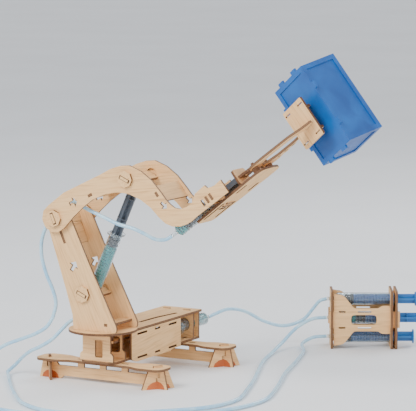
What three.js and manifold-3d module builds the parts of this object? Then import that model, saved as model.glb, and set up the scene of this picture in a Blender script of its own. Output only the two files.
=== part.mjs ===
// Hydraulic arm kit: a laser-cut plywood crane that three syringes move, and its hand controller.
// Millimetres, +Z up. The boom reaches towards +X, the chassis runs back along +Y.
import * as THREE from "three";
import { mergeVertices } from "three/addons/utils/BufferGeometryUtils.js";
import Module from "manifold-3d";

const wasm = await Module();
wasm.setup();

// ---------------------------------------------------------------- driving dimensions
const SHEET = 3; // thickness of every plywood plate
const GAP = 0.3; // clearance between touching pieces
const SLOT = SHEET + 2 * GAP; // slot that takes a plate's tab
const ORIGIN = [-131.4, -196.92, 0]; // centre of the footprint, measured from the swing axis

const BARREL_R = 8.2; // syringe barrel, outside
const BORE_R = 7.1;
const BARREL_LENGTH = 80;
const FLANGE_HALF = 14;
const PISTON_R = 6.8;
const PLUNGER_LENGTH = 96;
const THUMB_R = 9.5;
const NOZZLE_R = 2.4;
const NOZZLE_LENGTH = 9;
const HOSE_R = 2.3;

const FOOT_X = 79; // middle of a foot from the centre line
const FOOT_TURN = 54; // angle between a foot's cross plate and the beam, degrees
const REAR_Y = 169; // rear outrigger behind the swing axis
const OUTRIGGER_Z = 24; // underside of an outrigger's top plate
const ARCH_HEIGHT = 10; // arch under a foot, filled by its pad
const CROSS_ARCH = 16; // half width of the arch in a cross plate
const BEAM_ARCH = 12.5;
const BEAM_ARCH_IN = 2; // the beam's arch sits this far in from the foot's middle

const FLOOR_Z = OUTRIGGER_Z + SHEET + GAP;
const DECK_Z = 63; // underside of the chassis top
const CHASSIS_HALF = 28.4;
const SIDE_FRONT_Y = 22;
const SIDE_REAR_Y = 145;
const REAR_PLATE_Y = 198;

const DISC_R = 43;
const DISC_Z = DECK_Z + SHEET + 0.5;
const CRANK_R = 12; // swing pin from the swing axis
const CRANK_PIN_R = 2.5;
const SYRINGE_Z = 47;

const TOWER_Y = 25; // tower plates from the middle plane
const BOOM_Y = 31; // boom plates from the middle plane
const TOWER_Z = DISC_Z + SHEET + GAP;
const BOOM_PIVOT = [-50, 208];
const LIFT_LOW = [-13, 115];
const LIFT_TOP = [53, 263];
const TONGUE = 12; // height of the flat tongues that run in round holes
const WASHER_R = 10.5;

const GRIP_POINT = [190, 263]; // end of the boom on the gripper's axis
const GRIP_ANGLE = 38;
const FINGER_PIVOT = 40; // along the gripper's axis
const FINGER_SIDE = 17;
const PIN_SIDE = 6; // crosshead pins from the middle plane
const TAB_AT = 118; // middle of the container's tab along the gripper's axis
const TAB_UP = 5;
const LOAD_TURN = 20; // the held container is turned this far in the grip
const LOAD = [61, 58, 107]; // container: along the grip, deep, tall
const TAB_STANDOFF = 14;

const CONTROL_AT = [129, 362];
const CONTROL_TURN = 29.3;
const CONTROL_LENGTH = 100;
const CONTROL_HEIGHT = 78;
const CONTROL_HALF = 18; // broad plates from the controller's middle plane
const CONTROL_PITCH = 25.5;
const DRAWN_OUT = [30, 46, 27]; // swing, lift and gripper plungers, top to bottom

const rad = THREE.MathUtils.degToRad;
const X = new THREE.Vector3(1, 0, 0);
const Y = new THREE.Vector3(0, 1, 0);
const Z = new THREE.Vector3(0, 0, 1);
const at = (x, y, z) => new THREE.Vector3(x, y, z);

const MATERIALS = {
  wood: { color: 0xd9b27c, roughness: 0.75 },
  pad: { color: 0xc4622a, roughness: 0.6 },
  clear: { color: 0xcfe4ea, roughness: 0.15, transparent: true, opacity: 0.45 },
  slate: { color: 0x47525e, roughness: 0.5 },
  blue: { color: 0x2a62a8, roughness: 0.4 },
  load: { color: 0x00609a, roughness: 0.45 },
  hose: { color: 0x8cc8ec, roughness: 0.3, transparent: true, opacity: 0.7 },
};

const kit = new THREE.Group();
kit.position.set(...ORIGIN);

// ---------------------------------------------------------------- solids
function solid(geometry) {
  const plain = geometry.index ? geometry.toNonIndexed() : geometry.clone();
  plain.deleteAttribute("normal");
  plain.deleteAttribute("uv");
  const merged = mergeVertices(plain, 1e-4);
  const mesh = new wasm.Mesh({
    numProp: 3,
    vertProperties: merged.attributes.position.array,
    triVerts: new Uint32Array(merged.index.array),
  });
  return new wasm.Manifold(mesh);
}

function geometryOf(body) {
  const mesh = body.getMesh();
  const geometry = new THREE.BufferGeometry();
  geometry.setAttribute("position", new THREE.BufferAttribute(mesh.vertProperties, 3));
  geometry.setIndex(new THREE.BufferAttribute(mesh.triVerts, 1));
  return geometry;
}

function joined(first, ...others) {
  return geometryOf(others.reduce((body, other) => body.add(solid(other)), solid(first)));
}

function without(first, ...others) {
  return geometryOf(others.reduce((body, other) => body.subtract(solid(other)), solid(first)));
}

function piece(name, material, geometry, group = kit) {
  const mesh = new THREE.Mesh(geometry, new THREE.MeshStandardMaterial(MATERIALS[material]));
  mesh.name = name;
  group.add(mesh);
  return mesh;
}

// ---------------------------------------------------------------- flat outlines
// A closed outline through the corners; a corner's third value is its rounding.
function trace(path, corners) {
  corners.forEach((corner, i) => {
    const here = new THREE.Vector2(corner[0], corner[1]);
    const before = new THREE.Vector2(...corners.at(i - 1).slice(0, 2));
    const after = new THREE.Vector2(...corners[(i + 1) % corners.length].slice(0, 2));
    const nearest = Math.min(here.distanceTo(before), here.distanceTo(after));
    const round = Math.min(corner[2] || 0, 0.45 * nearest);
    const start = here.clone().add(before.sub(here).setLength(round));
    const end = here.clone().add(after.sub(here).setLength(round));
    if (i === 0) path.moveTo(start.x, start.y);
    else path.lineTo(start.x, start.y);
    if (round) path.quadraticCurveTo(here.x, here.y, end.x, end.y);
  });
  path.closePath();
  return path;
}

const outline = (...corners) => trace(new THREE.Shape(), corners);
const hole = (...corners) => trace(new THREE.Path(), corners);

function turned(corners, [x, y], angle) {
  const c = Math.cos(rad(angle));
  const s = Math.sin(rad(angle));
  return corners.map(([u, v, r]) => [x + u * c - v * s, y + u * s + v * c, r]);
}

const boxCorners = (length, width, round = 0) => [
  [-length / 2, -width / 2, round],
  [length / 2, -width / 2, round],
  [length / 2, width / 2, round],
  [-length / 2, width / 2, round],
];

const slotHole = (x, y, length, width = SLOT, angle = 0, round = 0) =>
  hole(...turned(boxCorners(length, width, round), [x, y], angle));

function circle(x, y, radius, sides = 14) {
  const corners = [];
  for (let i = 0; i < sides; i++) {
    const angle = (2 * Math.PI * i) / sides;
    corners.push([x + radius * Math.cos(angle), y + radius * Math.sin(angle)]);
  }
  return corners;
}

const roundHole = (x, y, radius) => hole(...circle(x, y, radius));

// A curved slot about the origin, open from -spread to +spread degrees.
function arcHole(radius, width, spread) {
  const steps = [-1, -0.5, 0, 0.5, 1].map((share) => rad(share * spread));
  const edge = (r, angles) => angles.map((angle) => [r * Math.cos(angle), r * Math.sin(angle)]);
  return hole(...edge(radius + width / 2, steps), ...edge(radius - width / 2, [...steps].reverse()));
}

function arrowHole(x, y, size, angle) {
  const corners = [[-1, -0.35], [0, -0.35], [0, -1], [1, 0], [0, 1], [0, 0.35], [-1, 0.35]];
  return hole(...turned(corners.map(([u, v]) => [u * size, v * size]), [x, y], angle));
}

// A plate of the outline, its middle plane through origin, with the outline's axes along u and v.
function plate(shape, origin, u, v, thickness = SHEET, holes = []) {
  const slab = (flat, depth) => {
    const options = { depth, bevelEnabled: false, curveSegments: 3 };
    return new THREE.ExtrudeGeometry(flat, options).translate(0, 0, -depth / 2);
  };
  const cuts = holes.map((path) => slab(new THREE.Shape(path.getPoints(3)), thickness + 2));
  const body = slab(shape, thickness);
  const geometry = cuts.length ? without(body, ...cuts) : body;
  const w = u.clone().cross(v);
  return geometry.applyMatrix4(new THREE.Matrix4().makeBasis(u, v, w).setPosition(origin));
}

const upright = (shape, y, holes, thickness) => plate(shape, at(0, y, 0), X, Z, thickness, holes);
const level = (shape, z, holes, thickness) => plate(shape, at(0, 0, z + SHEET / 2), X, Y, thickness, holes);
const lengthwise = (shape, x, holes) => plate(shape, at(x, 0, 0), Y, Z, SHEET, holes);

// A round bar or disc along an axis.
function bar(from, along, length, radius, sides = 14) {
  const geometry = new THREE.CylinderGeometry(radius, radius, length, sides);
  geometry.translate(0, length / 2, 0);
  geometry.applyQuaternion(new THREE.Quaternion().setFromUnitVectors(Y, along));
  return geometry.translate(from.x, from.y, from.z);
}

// ---------------------------------------------------------------- syringes
// The barrel's flange is at `flange` and its nozzle points along `nozzle`.
function barrel(flange, nozzle, across) {
  const shoulder = 4;
  const profile = [
    [0, BARREL_LENGTH - 3],
    [BORE_R, BARREL_LENGTH - 5],
    [BORE_R, 0],
    [BARREL_R, 0],
    [BARREL_R, BARREL_LENGTH - shoulder],
    [NOZZLE_R + 1, BARREL_LENGTH],
    [NOZZLE_R, BARREL_LENGTH + NOZZLE_LENGTH],
    [0, BARREL_LENGTH + NOZZLE_LENGTH],
  ].map(([r, y]) => new THREE.Vector2(r, y));
  const tube = new THREE.LatheGeometry(profile.reverse(), 16);
  const wing = outline(...boxCorners(2 * FLANGE_HALF, 2 * BARREL_R - 1, 6));
  const ring = plate(wing, at(0, 1, 0), X, at(0, 0, -1), 2, [roundHole(0, 0, BORE_R)]);
  const side = across.clone().cross(nozzle);
  return joined(outward(tube), ring).applyMatrix4(
    new THREE.Matrix4().makeBasis(across, nozzle, side).setPosition(flange),
  );
}

// A lathe body whose faces may point inwards is turned the right way round.
function outward(geometry) {
  if (solid(geometry).volume() > 0) return geometry;
  const index = geometry.index;
  for (let i = 0; i < index.count; i += 3) {
    const second = index.getX(i + 1);
    index.setX(i + 1, index.getX(i + 2));
    index.setX(i + 2, second);
  }
  return geometry;
}

// The plunger's thumb disc is at `thumb` and its ribbed piston lies along `inward`.
function plunger(thumb, inward) {
  const c = 1.6; // half a blade's thickness
  const w = 6.2; // half a blade's width
  const quarter = [[c, -w], [c, -c], [w, -c]];
  const quarters = [0, 90, 180, 270].flatMap((angle) => turned(quarter, [0, 0], angle));
  const cross = outline(...quarters);
  const u = Math.abs(inward.y) > 0.9 ? X : Y;
  const v = inward.clone().cross(u);
  const middle = thumb.clone().addScaledVector(inward, (PLUNGER_LENGTH - 10) / 2);
  const rod = plate(cross, middle, u, v, PLUNGER_LENGTH - 12);
  const head = bar(thumb, inward, 2, THUMB_R, 16);
  const start = thumb.clone().addScaledVector(inward, PLUNGER_LENGTH - 12);
  const rib = (offset) => bar(start.clone().addScaledVector(inward, offset), inward, 2, PISTON_R, 16);
  const core = bar(start, inward, 12, 5.6, 16);
  return joined(rod, head, core, rib(0), rib(5), rib(10));
}

// ---------------------------------------------------------------- outriggers and chassis
const HALVING = 6.6; // width of the notch where a beam and a cross plate pass through each other
const HALVING_Z = 14.2; // height at which the two notches meet
const BEAM_TABS = [-32, 0, 32];

// The long upright plate under an outrigger, flared down to a foot at each end.
function beamPlate(y) {
  const archX = FOOT_X - BEAM_ARCH_IN;
  const shape = new THREE.Shape();
  shape.moveTo(FOOT_X + 14, 0);
  shape.lineTo(FOOT_X + 9, OUTRIGGER_Z - GAP);
  shape.lineTo(FOOT_X - 9, OUTRIGGER_Z - GAP);
  shape.lineTo(FOOT_X - 14, 17);
  shape.lineTo(-FOOT_X + 14, 17);
  shape.lineTo(-FOOT_X + 9, OUTRIGGER_Z - GAP);
  shape.lineTo(-FOOT_X - 9, OUTRIGGER_Z - GAP);
  shape.lineTo(-FOOT_X - 14, 0);
  shape.lineTo(-archX - BEAM_ARCH, 0);
  shape.absellipse(-archX, 0, BEAM_ARCH, ARCH_HEIGHT, Math.PI, 0, true);
  shape.lineTo(-FOOT_X + 17, 0);
  shape.lineTo(-FOOT_X + 22, 4);
  shape.lineTo(FOOT_X - 22, 4);
  shape.lineTo(FOOT_X - 17, 0);
  shape.lineTo(archX - BEAM_ARCH, 0);
  shape.absellipse(archX, 0, BEAM_ARCH, ARCH_HEIGHT, Math.PI, 0, true);
  const beam = upright(shape, y, []);
  const block = (width, height, x, z) => outline(...turned(boxCorners(width, height), [x, z], 0));
  const cuts = [-FOOT_X, FOOT_X].map((x) => upright(block(HALVING, 12, x, HALVING_Z + 6), y, [], 9));
  const tabs = BEAM_TABS.map((x) => upright(block(9, 8, x, 20.4), y));
  return joined(without(beam, ...cuts), ...tabs);
}

// A foot's cross plate crosses the beam at FOOT_TURN and ends in a tab above the top plate.
function crossPlate(x, y) {
  const side = Math.sign(x);
  const u = at(side * Math.cos(rad(FOOT_TURN)), Math.sin(rad(FOOT_TURN)), 0);
  const shape = new THREE.Shape();
  shape.moveTo(22, 0);
  shape.lineTo(13, OUTRIGGER_Z - GAP);
  shape.lineTo(6, OUTRIGGER_Z - GAP);
  shape.lineTo(6, OUTRIGGER_Z + SHEET + 2);
  shape.lineTo(-6, OUTRIGGER_Z + SHEET + 2);
  shape.lineTo(-6, OUTRIGGER_Z - GAP);
  shape.lineTo(-13, OUTRIGGER_Z - GAP);
  shape.lineTo(-22, 0);
  shape.lineTo(-CROSS_ARCH, 0);
  shape.absellipse(0, 0, CROSS_ARCH, ARCH_HEIGHT, Math.PI, 0, true);
  const cross = plate(shape, at(x, y, 0), u, Z);
  const halving = plate(outline(...boxCorners(HALVING, 10)), at(x, y, HALVING_Z - 5), u, Z, 9);
  return without(cross, halving);
}

function outriggerTop(y) {
  const quarter = [[46, 12, 5], [58, 18, 6], [86, 18, 5], [92, 10, 4]];
  const flip = ([x, y, r], sx, sy) => [sx * x, sy * y, r];
  const back = [...quarter].reverse();
  const shape = outline(
    ...quarter.map((c) => flip(c, 1, -1)),
    ...back.map((c) => flip(c, 1, 1)),
    ...quarter.map((c) => flip(c, -1, 1)),
    ...back.map((c) => flip(c, -1, -1)),
  );
  const bosses = [-FOOT_X, FOOT_X].map((x) => slotHole(x, 0, 12.6, SLOT, FOOT_TURN * Math.sign(x)));
  const beamTabs = BEAM_TABS.map((x) => slotHole(x, 0, 9.6));
  return level(shape, OUTRIGGER_Z, [...bosses, ...beamTabs]).translate(0, y, 0);
}

for (const [where, y] of [["front", 0], ["rear", REAR_Y]]) {
  piece(`outrigger_top_${where}`, "wood", outriggerTop(y));
  piece(`outrigger_beam_${where}`, "wood", beamPlate(y));
  for (const [side, x] of [["left", -FOOT_X], ["right", FOOT_X]]) {
    piece(`foot_plate_${where}_${side}`, "wood", crossPlate(x, y));
  }
}

function chassisFloor() {
  const w = CHASSIS_HALF - SHEET - GAP;
  const shape = outline([-w + 8, -18], [w - 8, -18], [w, -10], [w, 200], [-w, 200], [-w, -10]);
  const slots = [60, 110, 178].flatMap((y) => [-14, 14].map((x) => slotHole(x, y, 12, SLOT, 90)));
  return level(shape, FLOOR_Z, slots);
}

function chassisTop() {
  const w = CHASSIS_HALF;
  const shape = outline(
    [-20, -18, 8], [20, -18, 8], [20, 18], [w, 20], [w, 200], [-w, 200], [-w, 20], [-20, 18],
  );
  const ribTabs = [-15, 15].map((x) => slotHole(x, 184, 10.6));
  const arc = arcHole(CRANK_R, 2 * (CRANK_PIN_R + 1), 44);
  const hosePath = hole([5, 76, 2], [10, 76, 2], [11, 118, 8], [17, 158, 2], [12, 160, 2], [6, 120, 8]);
  return level(shape, DECK_Z, [roundHole(0, 0, 5.8), arc, hosePath, ...ribTabs]);
}

const SIDE_SLOTS = [[48, 24], [86, 13], [124, 20]]; // middle and length of the slots along a side
function chassisSide(side) {
  const top = DECK_Z - GAP;
  const low = OUTRIGGER_Z;
  const shape = outline(
    [SIDE_FRONT_Y, low + 4, 3], [SIDE_FRONT_Y + 12, low, 3], [SIDE_REAR_Y - 26, low],
    [SIDE_REAR_Y - 22, low + 2], [SIDE_REAR_Y, low + 2], [SIDE_REAR_Y, top], [SIDE_FRONT_Y, top],
  );
  const rows = [top - 4, FLOOR_Z + 1.5];
  const slots = rows.flatMap((z) => SIDE_SLOTS.map(([y, length]) => slotHole(y, z, length, 2.6)));
  return lengthwise(shape, side * (CHASSIS_HALF - 1.5), slots);
}

// An upright plate across the chassis, with a round hole for the swing syringe.
function chassisBulkhead(y, holeRadius, tabs) {
  const w = CHASSIS_HALF - SHEET - GAP;
  const low = FLOOR_Z + SHEET + GAP;
  const shape = outline([-w, low], [w, low], [w, DECK_Z - GAP], [-w, DECK_Z - GAP]);
  const body = upright(shape, y, [roundHole(CRANK_R, SYRINGE_Z, holeRadius)]);
  if (!tabs) return body;
  const tab = (x) => outline(...turned(boxCorners(10, 6), [x, DECK_Z + 1], 0));
  return joined(body, ...[-15, 15].map((x) => upright(tab(x), y)));
}

piece("chassis_floor", "wood", chassisFloor());
piece("chassis_top", "wood", chassisTop());
piece("chassis_side_right", "wood", chassisSide(1));
piece("chassis_side_left", "wood", chassisSide(-1));
piece("chassis_rib", "wood", chassisBulkhead(184, BARREL_R + GAP, true));
piece("chassis_rear", "wood", chassisBulkhead(REAR_PLATE_Y, BARREL_R + GAP, false));

// The pedestal that carries the turntable: two windowed plates.
function pedestal(y, windows) {
  const low = FLOOR_Z + SHEET + GAP;
  const top = DECK_Z - GAP;
  const half = [[24, low], [24, low + 8, 3], [20, low + 11], [20, top]];
  const mirrored = [...half].reverse().map(([x, z, r]) => [-x, z, r]);
  return upright(outline(...half, ...mirrored), y, windows);
}
const frontWindow = hole([-2, 35, 2], [9, 35, 2], [9, 57, 2], [-2, 57, 2]);
const yokeWindow = hole([-4, 38, 3], [17, 38, 3], [17, 58, 3], [-4, 58, 3]);
piece("pedestal_front", "wood", pedestal(-14.6, [frontWindow]));
piece("pedestal_rear", "wood", pedestal(14, [yokeWindow]));

// ---------------------------------------------------------------- swing syringe
const swingFlange = at(CRANK_R, 157, SYRINGE_Z);
const swingThumb = at(CRANK_R, 98, SYRINGE_Z);
piece("swing_barrel", "clear", barrel(swingFlange, Y, X));
piece("swing_plunger", "slate", plunger(swingThumb, Y));

// The yoke joins the thumb disc to the crank pin, which runs in its cross slot.
function swingYoke() {
  const shape = outline(
    [5, -5.6, 2.5], [19, -5.6, 2.5], [19, 4.4, 2], [16, 6, 1], [16, 96], [8, 96], [8, 6, 1], [5, 4.4, 2],
  );
  const bodyPlate = level(shape, SYRINGE_Z + 5, [slotHole(CRANK_R, 0, 9.6, 2 * CRANK_PIN_R + 0.9, 0, 2.2)]);
  const cup = outline([2, 36, 4], [22, 36, 4], [22, 57, 4], [2, 57, 4]);
  const end = upright(cup, swingThumb.y - SHEET / 2 - GAP);
  return joined(bodyPlate, end);
}
piece("swing_yoke", "wood", swingYoke());

// ---------------------------------------------------------------- turntable and tower
function turntable() {
  const disc = outline(...circle(0, 0, DISC_R, 36));
  const tabs = [-TOWER_Y, TOWER_Y].flatMap((y) => [-14, 18].map((x) => slotHole(x, y, 10.6)));
  const body = plate(disc, at(0, 0, DISC_Z + SHEET / 2), X, Y, SHEET, tabs);
  const spindle = bar(at(0, 0, DISC_Z + 1), at(0, 0, -1), 12, 5.2, 14);
  const crank = bar(at(CRANK_R, 0, DISC_Z + 1), at(0, 0, -1), 16.5, CRANK_PIN_R, 12);
  return joined(body, spindle, crank);
}
piece("turntable_disc", "wood", turntable());

const LOW_TAB = 4;
const TOWER_LEAN = 113; // the tower's long axis and its upper slots, degrees from +X
function towerPlate(y) {
  const [px, pz] = BOOM_PIVOT;
  const shape = new THREE.Shape();
  shape.moveTo(-27, TOWER_Z);
  shape.lineTo(34, TOWER_Z);
  shape.quadraticCurveTo(37, TOWER_Z + 4, 34, TOWER_Z + 10);
  shape.lineTo(-6, 158);
  shape.lineTo(-29, 206);
  shape.lineTo(-34, 216);
  shape.lineTo(-44, 223);
  shape.absarc(px, pz, 16, rad(70), rad(196), false);
  shape.lineTo(-37, 118);
  shape.lineTo(-28, 88);
  const holes = [
    slotHole(px, pz, TONGUE + 0.6, SLOT, TOWER_LEAN),
    roundHole(LIFT_LOW[0], LIFT_LOW[1], TONGUE / 2 + 0.9),
    slotHole(-42, 185, 18, SLOT, TOWER_LEAN),
    slotHole(20, TOWER_Z + 9, LOW_TAB + 2 * GAP, SLOT),
    arrowHole(-26, 149, 7, 60),
  ];
  const body = upright(shape, y, holes);
  const tabs = [-14, 18].map((x) => upright(outline(...turned(boxCorners(10, 6), [x, TOWER_Z + 0.2], 0)), y));
  return joined(body, ...tabs);
}
piece("tower_plate_left", "wood", towerPlate(-TOWER_Y));
piece("tower_plate_right", "wood", towerPlate(TOWER_Y));

// A plate across the tower in a plane that holds the Y axis and leans at `angle`.
function acrossPlate(centre, angle, length, halfWidth, tabLength, tabHalf, holes = []) {
  const shape = outline(
    [-length / 2, -halfWidth], [length / 2, -halfWidth], [length / 2, halfWidth], [-length / 2, halfWidth],
  );
  const u = at(Math.cos(rad(angle)), 0, Math.sin(rad(angle)));
  const middle = at(centre[0], 0, centre[1]);
  const body = plate(shape, middle, u, Y, SHEET, holes);
  if (!tabLength) return body;
  return joined(body, plate(outline(...boxCorners(tabLength, 2 * tabHalf)), middle, u, Y));
}

const insideTower = TOWER_Y - SHEET / 2 - GAP;
piece("tower_cross_panel", "wood", acrossPlate([-42, 185], TOWER_LEAN, 26, insideTower, 17.4, TOWER_Y + 1.5));
const lowerPanel = acrossPlate([20, TOWER_Z + 9], 0, 16, insideTower, LOW_TAB, TOWER_Y + 1.5);
piece("tower_cross_low", "wood", lowerPanel);

// A flat tongue across the machine with an octagonal washer on each end, outside plates at `outer`.
function tongue(centre, angle, inner, outer, web) {
  const u = at(Math.cos(rad(angle)), 0, Math.sin(rad(angle)));
  const middle = at(centre[0], 0, centre[1]);
  const face = outer + SHEET / 2 + GAP;
  const strap = plate(outline(...boxCorners(TONGUE, 2 * (face + SHEET + 0.8))), middle, u, Y);
  const washers = [-1, 1].map((side) => {
    const washer = new THREE.CylinderGeometry(WASHER_R, WASHER_R, SHEET, 8);
    washer.rotateY(Math.PI / 8);
    washer.rotateY(-rad(angle));
    return washer.translate(centre[0], side * (face + SHEET / 2), centre[1]);
  });
  const panel = plate(outline(...boxCorners(web, 2 * inner)), middle, u, Y);
  return { strap, washers, panel, u, middle };
}

const boomPin = tongue(BOOM_PIVOT, TOWER_LEAN, insideTower, BOOM_Y, 20);
piece("boom_pivot_tongue", "wood", joined(boomPin.strap, boomPin.panel, ...boomPin.washers));

// ---------------------------------------------------------------- lift cylinder
const liftAxis = at(LIFT_TOP[0] - LIFT_LOW[0], 0, LIFT_TOP[1] - LIFT_LOW[1]);
const LIFT_LENGTH = liftAxis.length();
liftAxis.normalize();
const liftAngle = THREE.MathUtils.radToDeg(Math.atan2(liftAxis.z, liftAxis.x));
const alongLift = (s) => at(LIFT_LOW[0], 0, LIFT_LOW[1]).addScaledVector(liftAxis, s);

const down = liftAxis.clone().negate();
piece("lift_barrel", "clear", barrel(alongLift(BARREL_LENGTH + 2.5), down, Y));

// The cradle carries the barrel's shoulder and turns in the tower's round holes.
const cradle = tongue(LIFT_LOW, liftAngle - 90, insideTower, TOWER_Y, 24);
const throat = bar(alongLift(-4), liftAxis, 8, NOZZLE_R + 1.6, 14);
piece("lift_cradle", "wood", without(joined(cradle.strap, cradle.panel, ...cradle.washers), throat));

piece("lift_plunger", "slate", plunger(alongLift(LIFT_LENGTH - 1.8), down));
const yoke = tongue(LIFT_TOP, liftAngle - 90, BOOM_Y - 3, BOOM_Y, 22);
piece("lift_head_tongue", "wood", joined(yoke.strap, yoke.panel, ...yoke.washers));

// ---------------------------------------------------------------- boom
const SPREADER_LOW = [2, 240];
const SPREADER_BEND = [97, 247];
const SPREADER_TAB = 6;
const CLAMP_AT = [-22.6, -29.2, -36]; // flange clamps along the gripper's axis
const gripPlace = new THREE.Matrix4()
  .makeTranslation(GRIP_POINT[0], 0, GRIP_POINT[1])
  .multiply(new THREE.Matrix4().makeRotationY(-rad(GRIP_ANGLE)));
const fromGrip = (s, y, n) => at(s, y, n).applyMatrix4(gripPlace);

function boomPlate(y) {
  const [px, pz] = BOOM_PIVOT;
  const shape = new THREE.Shape();
  shape.absarc(px, pz, 18, rad(118), rad(322), false);
  shape.quadraticCurveTo(-14, 222, 6, 235);
  shape.quadraticCurveTo(34, 250, 58, 245);
  shape.quadraticCurveTo(84, 238, 100, 219);
  shape.quadraticCurveTo(113, 206, 130, 210);
  shape.quadraticCurveTo(144, 214, 152, 223);
  shape.lineTo(196, 256);
  shape.lineTo(185, 270);
  shape.lineTo(176, 262);
  shape.lineTo(167, 259);
  shape.lineTo(163, 262);
  shape.lineTo(150, 251);
  shape.lineTo(147, 241);
  shape.quadraticCurveTo(134, 228, 122, 232);
  shape.quadraticCurveTo(112, 237, 104, 248);
  shape.quadraticCurveTo(84, 274, 58, 280);
  shape.quadraticCurveTo(40, 281, 16, 266);
  shape.lineTo(-36, 241);
  const clampSlots = CLAMP_AT.map((s) => {
    const p = fromGrip(s, 0, 0);
    return slotHole(p.x, p.z, 8.6, SLOT, GRIP_ANGLE + 90);
  });
  const holes = [
    roundHole(px, pz, TONGUE / 2 + 0.6),
    roundHole(LIFT_TOP[0], LIFT_TOP[1], TONGUE / 2 + 1.4),
    slotHole(...SPREADER_LOW, SPREADER_TAB + 2 * GAP, SLOT, 28),
    slotHole(...SPREADER_BEND, SPREADER_TAB + 2 * GAP, SLOT, -52),
    arrowHole(-22, 230, 6.5, 28),
    arrowHole(107, 234, 5.5, -40),
    ...clampSlots,
  ];
  return upright(shape, y, holes);
}
piece("boom_plate_left", "wood", boomPlate(-BOOM_Y));
piece("boom_plate_right", "wood", boomPlate(BOOM_Y));

const insideBoom = BOOM_Y - SHEET / 2 - GAP;
const spreader = (centre, angle, length) =>
  acrossPlate(centre, angle, length, insideBoom, SPREADER_TAB, BOOM_Y + SHEET / 2);
piece("boom_spreader_low", "wood", spreader(SPREADER_LOW, 28, 26));
piece("boom_spreader_bend", "wood", spreader(SPREADER_BEND, -52, 22));

// ---------------------------------------------------------------- gripper
// In its own frame: X along the arm, Z up from it.
const grip = new THREE.Group();
grip.position.set(GRIP_POINT[0], 0, GRIP_POINT[1]);
grip.rotation.y = -rad(GRIP_ANGLE);
kit.add(grip);

piece("gripper_barrel", "clear", barrel(at(-25, 0, 0), X.clone().negate(), Y), grip);
piece("gripper_plunger", "slate", plunger(at(8, 0, 0), X.clone().negate()), grip);

// Each clamp plate stands across the arm, with tabs through the boom plates.
function clampPlate(s, holeRadius) {
  const shape = outline(
    [-insideBoom, -8], [-insideBoom, 8], [-20, 8], [-16, 12.5], [16, 12.5], [20, 8], [insideBoom, 8],
    [insideBoom, -8], [8, -8], [8, -13.9], [-8, -13.9], [-8, -8],
  );
  const tabs = outline(...boxCorners(2 * (BOOM_Y + 2.2), 8));
  const body = plate(shape, at(s, 0, 0), Y, Z);
  const opening = bar(at(s - 4, 0, 0), X, 8, holeRadius, 16);
  return without(joined(body, plate(tabs, at(s, 0, 0), Y, Z)), opening);
}
piece("gripper_clamp_front", "wood", clampPlate(CLAMP_AT[0], 7.4), grip);
piece("gripper_clamp_rear", "wood", clampPlate(CLAMP_AT[1], BARREL_R + GAP), grip);

const BASE_UP = -12.8; // underside of the gripper's base plate
const FINGER_UP = -3;
function gripperBase() {
  const shape = outline(
    [-66, -20, 6], [-8, -24, 5], [12, -24, 8], [28, -26, 8], [50, -24, 9], [52, 0], [50, 24, 9], [28, 26, 8],
    [12, 24, 8], [-8, 24, 5], [-66, 20, 6],
  );
  const holes = [
    ...CLAMP_AT.map((s) => slotHole(s, 0, 16.8, SLOT, 90)),
    ...[-14.5, 14.5].map((y) => slotHole(-40, y, 36, 5, 0, 2.4)),
    ...[-15, 15].map((y) => slotHole(8, y, 18, 5, 0, 2.4)),
  ];
  const base = plate(shape, at(0, 0, BASE_UP + SHEET / 2), X, Y, SHEET, holes);
  const posts = [-FINGER_SIDE, FINGER_SIDE].flatMap((y) => [
    bar(at(FINGER_PIVOT, y, BASE_UP + 1), Z, FINGER_UP - GAP - BASE_UP - 1, 4.5, 12),
    bar(at(FINGER_PIVOT, y, BASE_UP + 1), Z, 15.4, 2, 12),
  ]);
  return joined(base, ...posts);
}
piece("gripper_base", "wood", gripperBase(), grip);

// The crosshead turns the fingers by two pins in their tail slots.
function crosshead() {
  const wall = plate(outline([-15, -7, 3], [15, -7, 3], [15, 13, 4], [-15, 13, 4]), at(9.8, 0, 0), Y, Z);
  const shape = outline([9, -11], [30, -9, 4], [43, -9, 3], [43, 9, 3], [30, 9, 4], [9, 11]);
  const window = hole([16, -4, 2], [30, -4, 2], [30, 4, 2], [16, 4, 2]);
  const arm = plate(shape, at(0, 0, FINGER_UP + SHEET + GAP + 1.5), X, Y, SHEET, [window]);
  const pins = [-PIN_SIDE, PIN_SIDE].map((y) => bar(at(FINGER_PIVOT - 2, y, FINGER_UP - 0.8), Z, 5, 1.8, 12));
  return joined(wall, arm, ...pins);
}
piece("gripper_crosshead", "wood", crosshead(), grip);

const pivotHole = (side) => roundHole(FINGER_PIVOT, side * FINGER_SIDE, 2.4);
const pinSlot = (side) => slotHole(FINGER_PIVOT - 2, side * PIN_SIDE, 6.6, 4.2, 90, 1.6);
const nearFinger = outline(
  [33, -1.2, 2], [43, -1.2, 2], [47, -9, 3], [56, -14, 4], [96, -13, 8], [116, -2.6, 2], [132, -8.4, 2],
  [134, -14, 3], [118, -16, 4], [104, -24, 6], [56, -27, 6], [40, -26, 6], [33, -20, 4],
);
const farFinger = outline(
  [33, 1.2, 2], [43, 1.2, 2], [47, 9, 3], [60, 14, 4], [86, 14, 4], [100, 9.6, 2], [121, 2, 1.5],
  [122, 5.5, 2], [106, 11.5, 2], [98, 17, 3], [90, 16, 1.5], [84, 22, 4], [76, 20, 1.5], [70, 26, 4],
  [62, 23, 1.5], [52, 28, 5], [40, 26, 6], [33, 20, 4],
);
const fingerSlots = [58, 70, 82].map((s) => slotHole(s, 18, 6, 2.2, -8));
const fingerPlane = at(0, 0, FINGER_UP + SHEET / 2);
const finger = (shape, holes) => plate(shape, fingerPlane, X, Y, SHEET, holes);
piece("finger_left", "wood", finger(nearFinger, [pivotHole(-1), pinSlot(-1)]), grip);
piece("finger_right", "wood", finger(farFinger, [pivotHole(1), pinSlot(1), ...fingerSlots]), grip);

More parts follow.
